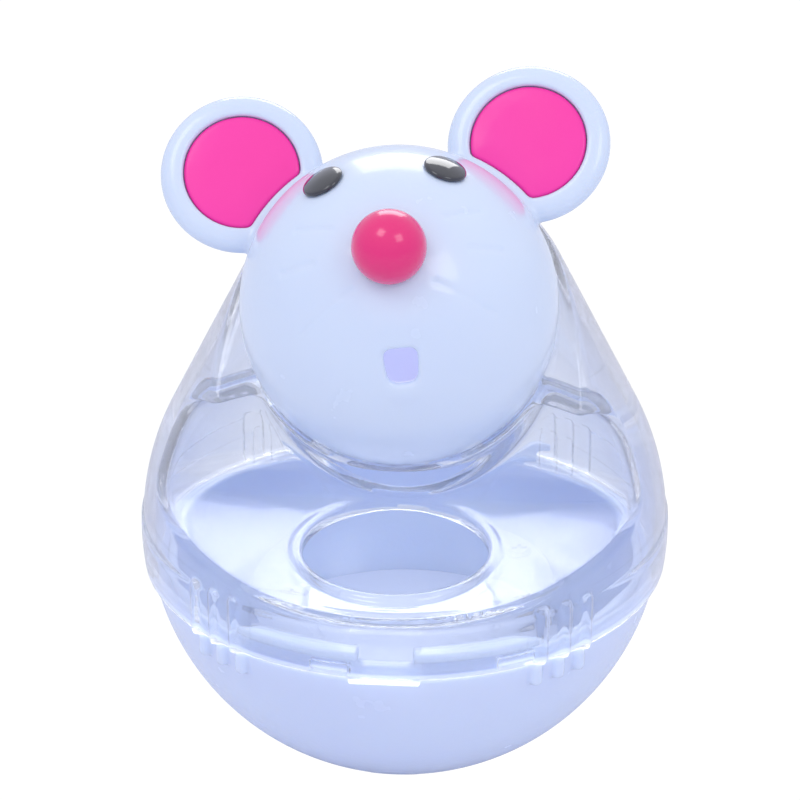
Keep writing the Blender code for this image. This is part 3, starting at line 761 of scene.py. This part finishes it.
def add_bump(tree, shader, height, distance):
    bump = tree.nodes.new("ShaderNodeBump")
    bump.inputs["Strength"].default_value = 1.0
    bump.inputs["Distance"].default_value = distance
    tree.links.new(height, bump.inputs["Height"])
    tree.links.new(bump.outputs["Normal"], shader.inputs["Normal"])


# ---------------------------------------------------------------- moulded plastic and metal
CLOUDS = 28.0                    # waves per metre of the colour's slow drift
GLOSS_PATCHES = 160.0            # waves per metre of the uneven gloss


def painted_hollow_light(tree, shader, colour, shade, glow):
    """Painted shade and painted glow inside the head: a darker colour in its hollow, with emission in place of
    the light that its thin wall lets in.
    """
    middle = tuple((HEAD_CENTRE + (0.0, 0.0, BODY_Z)) * MM)
    from_middle = vector_maths(tree, 'DISTANCE', place_in_frame(tree), middle)["Value"]
    inside = maths(tree, 'LESS_THAN', from_middle, (HEAD_R - HEAD_WALL / 2) * MM)
    shader.inputs["Emission Color"].default_value = (*shade, 1.0)
    tree.links.new(spread(tree, inside, 0.0, glow, 0.0, 1.0), shader.inputs["Emission Strength"])
    return mixed(tree, inside, colour, shade)


def moulded(name, light, dark, roughness, coat=0.0, depth=0.0, wave=0.02, metal=0.0, grain=900.0,
            inside=None):
    """A surface cloudy between two near colours, with uneven gloss and fine grain.

    depth is the share of light that scatters below the surface, wave the grain's height in
    millimetres, grain its waves per metre, and inside the painted shade and painted glow of the head's hollow."""
    mat, tree, shader = new_material(name)
    colour = spread(tree, noise(tree, CLOUDS, 3.0), dark, light)
    if inside:
        colour = painted_hollow_light(tree, shader, colour, *inside)
    tree.links.new(colour, shader.inputs["Base Color"])
    tree.links.new(spread(tree, noise(tree, GLOSS_PATCHES, 3.0), roughness * 0.8, roughness * 1.25),
                   shader.inputs["Roughness"])
    shader.inputs["Metallic"].default_value = metal
    shader.inputs["Coat Weight"].default_value = coat
    shader.inputs["Coat Roughness"].default_value = 0.04
    shader.inputs["IOR"].default_value = 1.5
    shader.inputs["Subsurface Weight"].default_value = depth
    shader.inputs["Subsurface Radius"].default_value = (0.6, 0.8, 1.0)
    shader.inputs["Subsurface Scale"].default_value = 3.0 * MM
    add_bump(tree, shader, noise(tree, grain), wave * MM)
    return mat


# ---------------------------------------------------------------- clear plastic
CLEAR_TINT = (0.945, 0.967, 0.997)
EDGE_TINT = (0.74, 0.78, 0.97)
# Painted shade: a deeper tint painted on the clear plastic at the lap's two ends.
PAINTED_SHADE_TINT = (0.80, 0.82, 0.95)
LAP_END = (33.0, 20.0, 16.0)     # the lap's end on one side, from the body's centre, Y reversed
PAINTED_SHADE_REACH = (1.5, 9.0)       # the painted shade is full within the first and gone by the second
# Painted highlight: emission along the shell's foot, just above the seam.
PAINTED_GLOW_STRENGTH = 0.45
PAINTED_GLOW_REACH = (0.35, 0.7)    # above the seam, where the painted glow starts to fade and where it ends


def painted_lap_shade(tree, tint):
    """Painted shade at the lap's two ends: a deeper, mottled tint mixed into the clear plastic there."""
    place = place_in_frame(tree)
    folded = vector_maths(tree, 'ABSOLUTE', place)["Vector"]
    end = tuple((np.array(LAP_END) + (0.0, 0.0, BODY_Z)) * MM)
    apart = vector_maths(tree, 'DISTANCE', folded, end)["Value"]
    ragged = maths(tree, 'MULTIPLY_ADD', noise(tree, 500.0, 4.0), -5.0 * MM, apart)
    near = spread(tree, ragged, 1.0, 0.0, *(reach * MM for reach in PAINTED_SHADE_REACH))
    in_front = spread(tree, coordinate(tree, place, "Y"), 1.0, 0.0, -6.0 * MM, 0.0)
    return mixed(tree, maths(tree, 'MULTIPLY', near, in_front), tint, PAINTED_SHADE_TINT)


def add_painted_glow(tree, shader):
    """Painted highlight along the shell's foot: an emissive band above the seam, in place of the light that
    runs down inside its wall.
    """
    height = coordinate(tree, place_in_frame(tree), "Z")
    start, end = ((BODY_Z + SEAM + reach) * MM for reach in PAINTED_GLOW_REACH)
    shader.inputs["Emission Color"].default_value = (0.95, 0.97, 1.0, 1.0)
    tree.links.new(spread(tree, height, PAINTED_GLOW_STRENGTH, 0.0, start, end), shader.inputs["Emission Strength"])


def clear_plastic():
    """Clear styrene with a cool tint, and a gloss that grows where the wall is seen edge on.

    Lamps shine through it, as they do through a thin wall."""
    mat, tree, shader = new_material("clear_plastic")
    edge_on = tree.nodes.new("ShaderNodeLayerWeight")
    edge_on.inputs["Blend"].default_value = 0.5
    facing = edge_on.outputs["Facing"]
    tint = spread(tree, facing, CLEAR_TINT, EDGE_TINT, 0.3, 1.0)
    # The base colour carries the painted shade at the lap's two ends.
    tree.links.new(painted_lap_shade(tree, tint), shader.inputs["Base Color"])
    shader.inputs["Roughness"].default_value = 0.02
    shader.inputs["IOR"].default_value = 1.2
    shader.inputs["Transmission Weight"].default_value = 1.0
    add_bump(tree, shader, noise(tree, 130.0, 1.0), 0.06 * MM)
    # Painted highlight: the foot's emissive band.
    add_painted_glow(tree, shader)

    straight = tree.nodes.new("ShaderNodeBsdfTransparent")
    leaving = tree.nodes.new("ShaderNodeNewGeometry").outputs["Backfacing"]
    leak = spread(tree, leaving, 0.0, 0.35, 0.0, 1.0)
    wall = layered(tree, leak, shader.outputs["BSDF"], straight.outputs["BSDF"])
    gloss = tree.nodes.new("ShaderNodeBsdfGlossy")
    tree.links.new(spread(tree, noise(tree, 300.0, 3.0), 0.05, 0.10), gloss.inputs["Roughness"])
    glancing = spread(tree, maths(tree, 'POWER', facing, 3.0), 0.07, 0.8, 0.0, 1.0)
    skin = layered(tree, glancing, wall, gloss.outputs["BSDF"])
    through = tree.nodes.new("ShaderNodeBsdfTransparent")
    through.inputs["Color"].default_value = (*CLEAR_TINT, 1.0)
    whole = layered(tree, ray_is(tree, "Is Shadow Ray"), skin, through.outputs["BSDF"])
    tree.links.new(whole, tree.nodes["Material Output"].inputs["Surface"])
    return mat


# ---------------------------------------------------------------- the materials
CLEAR = clear_plastic()
BOWL = moulded("bowl_plastic", (0.66, 0.74, 0.96), (0.63, 0.71, 0.95), 0.22, coat=0.3, depth=0.3)
# Besides its own colour, the face plastic carries painted shade and a painted glow inside the head's hollow.
FACE = moulded("face_plastic", (0.69, 0.78, 0.95), (0.66, 0.75, 0.94), 0.22, coat=0.3, depth=0.15,
               inside=((0.70, 0.72, 0.88), 0.26))
COVER = moulded("cover_plastic", (0.74, 0.80, 0.97), (0.70, 0.77, 0.96), 0.35, coat=0.1)
PINK = moulded("ear_pink", (1.0, 0.035, 0.42), (1.0, 0.028, 0.38), 0.4, coat=0.1)
NOSE = moulded("nose_pink", (0.86, 0.010, 0.20), (0.80, 0.008, 0.18), 0.2, coat=0.5)
EYE = moulded("eye_black", (0.016, 0.018, 0.035), (0.010, 0.012, 0.025), 0.1, coat=1.0)
IRON = moulded("ballast_iron", (0.34, 0.34, 0.36), (0.22, 0.22, 0.24), 0.5, wave=0.15, metal=1.0,
               grain=600.0)
STEEL = moulded("screw_steel", (0.70, 0.70, 0.72), (0.58, 0.58, 0.61), 0.28, wave=0.01, metal=1.0,
                grain=1500.0)


# ---------------------------------------------------------------- the pieces
def node_box(node, margin=1.0):
    """A node's box with a margin, in millimetres from the body's centre."""
    low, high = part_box(node)
    lift = Vector((0.0, 0.0, BODY_Z))
    return (np.array(low / MM - lift) - margin).tolist(), (np.array(high / MM - lift) + margin).tolist()


def add_piece(name, shape, size, mat, body, node, slot):
    obj = moulding(name, shape, *node_box(node), size)
    obj.data.materials.append(mat)
    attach(obj, body)
    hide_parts(node)


# Each piece's name, shape, mesh cell in millimetres, material, body, CAD node and slot.
MOULDINGS = [
    ("clear_shell_moulding", clear_shell, 0.42, CLEAR, "shell", "clear_shell", "clear_plastic"),
    ("bowl_moulding", bowl, 0.45, BOWL, "base", "bowl", "bowl_plastic"),
    ("ballast_casting", ballast_weight, 0.5, IRON, "base", "ballast_weight", "ballast_iron"),
    ("ballast_lid", ballast_cover, 0.4, COVER, "base", "ballast_cover", "bowl_plastic"),
    ("head_moulding", head_shell, 0.35, FACE, "head", "head_shell", "face_plastic"),
    ("neck_ring", neck_retainer, 0.35, COVER, "head", "neck_retainer", "face_plastic"),
    ("nose_ball", nose, 0.2, NOSE, "head", "nose", "nose_pink"),
]
for hand, hand_side in (("left", -1), ("right", 1)):
    MOULDINGS.append((f"ear_pad_{hand}_inset", ear_pad(hand_side), 0.22, PINK, "head", f"ear_pad_{hand}",
                      "ear_pink"))
    MOULDINGS.append((f"eye_{hand}_button", eye(hand_side), 0.12, EYE, "head", f"eye_{hand}", "eye_black"))
for row in MOULDINGS:
    add_piece(*row)

for cad_name, cad_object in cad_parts.items():
    if "screw" in cad_name:
        cad_object.data.materials.clear()
        cad_object.data.materials.append(STEEL)


# ---------------------------------------------------------------- floor, light and camera
WHITE_OUT = 1.05                 # just past white, for a plain background
MIDDLE = Vector((0.0, 0.0, BODY_Z * MM))
CAMERA_AZIMUTH, CAMERA_ELEVATION = 4.2, 28.0
CAMERA_DISTANCE = 450.0
AIM_UP, AIM_RIGHT = 19.05, -0.8  # the aim from the body's centre, across the view


def direction(azimuth, elevation):
    """The direction at an azimuth from the front and an elevation, both in degrees."""
    a, e = math.radians(azimuth), math.radians(elevation)
    return Vector((math.sin(a) * math.cos(e), -math.cos(a) * math.cos(e), math.sin(e)))


def place_object(name, data, location, forward):
    """An object in the scene that looks along a direction."""
    obj = bpy.data.objects.new(name, data)
    bpy.context.scene.collection.objects.link(obj)
    obj.location = location
    obj.rotation_euler = forward.to_track_quat('-Z', 'Y').to_euler()
    return obj


def make_floor():
    """White to the camera; to the toy, a pale floor that gives it back cool light."""
    mesh = bpy.data.meshes.new("floor")
    bm = bmesh.new()
    bmesh.ops.create_grid(bm, x_segments=1, y_segments=1, size=6.0)
    bm.to_mesh(mesh)
    bm.free()
    obj = bpy.data.objects.new("floor", mesh)
    bpy.context.scene.collection.objects.link(obj)
    mat, tree, shader = new_material("pale_floor")
    tree.links.new(spread(tree, noise(tree, 2.0), (0.80, 0.81, 0.88), (0.84, 0.85, 0.91)),
                   shader.inputs["Base Color"])
    shader.inputs["Roughness"].default_value = 0.8
    shader.inputs["Specular IOR Level"].default_value = 0.1
    glow = tree.nodes.new("ShaderNodeEmission")
    glow.inputs["Strength"].default_value = WHITE_OUT
    seen = layered(tree, ray_is(tree, "Is Camera Ray"), shader.outputs["BSDF"], glow.outputs["Emission"])
    tree.links.new(seen, tree.nodes["Material Output"].inputs["Surface"])
    mesh.materials.append(mat)
    obj.location.z = -0.2 * MM


def softbox(name, azimuth, elevation, distance, width, height, power):
    """An area light that looks at the toy's middle; its sizes are in metres."""
    data = bpy.data.lights.new(name, 'AREA')
    data.shape = 'RECTANGLE'
    data.size, data.size_y = width, height
    data.energy = power
    back = direction(azimuth, elevation)
    return place_object(name, data, MIDDLE + back * distance, -back)


def make_world():
    """White to the camera; to the toy, a cool room that is darker towards the floor."""
    world = bpy.data.worlds.new("studio")
    world.use_nodes = True
    bpy.context.scene.world = world
    tree = world.node_tree
    tree.nodes.clear()
    place = tree.nodes.new("ShaderNodeTexCoord").outputs["Generated"]
    ramp = tree.nodes.new("ShaderNodeValToRGB")
    ramp.color_ramp.elements[0].position = 0.0
    ramp.color_ramp.elements[0].color = (0.74, 0.77, 0.94, 1.0)
    ramp.color_ramp.elements[1].position = 0.75
    ramp.color_ramp.elements[1].color = (0.96, 0.97, 1.0, 1.0)
    tree.links.new(coordinate(tree, place, "Z"), ramp.inputs["Fac"])
    room = tree.nodes.new("ShaderNodeBackground")
    room.inputs["Strength"].default_value = 0.95
    tree.links.new(ramp.outputs["Color"], room.inputs["Color"])
    white = tree.nodes.new("ShaderNodeBackground")
    white.inputs["Color"].default_value = (1.0, 1.0, 1.0, 1.0)
    white.inputs["Strength"].default_value = WHITE_OUT
    seen = layered(tree, ray_is(tree, "Is Camera Ray"), room.outputs["Background"],
                   white.outputs["Background"])
    tree.links.new(seen, tree.nodes.new("ShaderNodeOutputWorld").inputs["Surface"])


def make_camera():
    """The camera looks down at the toy's front, a little above the body's centre."""
    back = direction(CAMERA_AZIMUTH, CAMERA_ELEVATION)
    right = Vector((math.cos(math.radians(CAMERA_AZIMUTH)), math.sin(math.radians(CAMERA_AZIMUTH)), 0.0))
    up = back.cross(right)
    data = bpy.data.cameras.new("camera")
    data.lens = 123.3
    data.sensor_width = 36.0
    data.clip_start, data.clip_end = 0.01, 20.0
    location = MIDDLE + back * CAMERA_DISTANCE * MM
    aim = MIDDLE + up * AIM_UP * MM + right * AIM_RIGHT * MM
    bpy.context.scene.camera = place_object("camera", data, location, aim - location)


make_floor()
make_world()
softbox("key", -40.0, 60.0, 0.9, 0.3, 0.3, 0.8)
softbox("fill", 45.0, 45.0, 0.9, 0.3, 0.3, 0.6)
back_light = softbox("back", 180.0, 35.0, 0.8, 0.5, 0.35, 1.6)
back_light.visible_diffuse = False
make_camera()
bpy.context.scene.view_settings.view_transform = 'Standard'

bpy.context.view_layer.update()
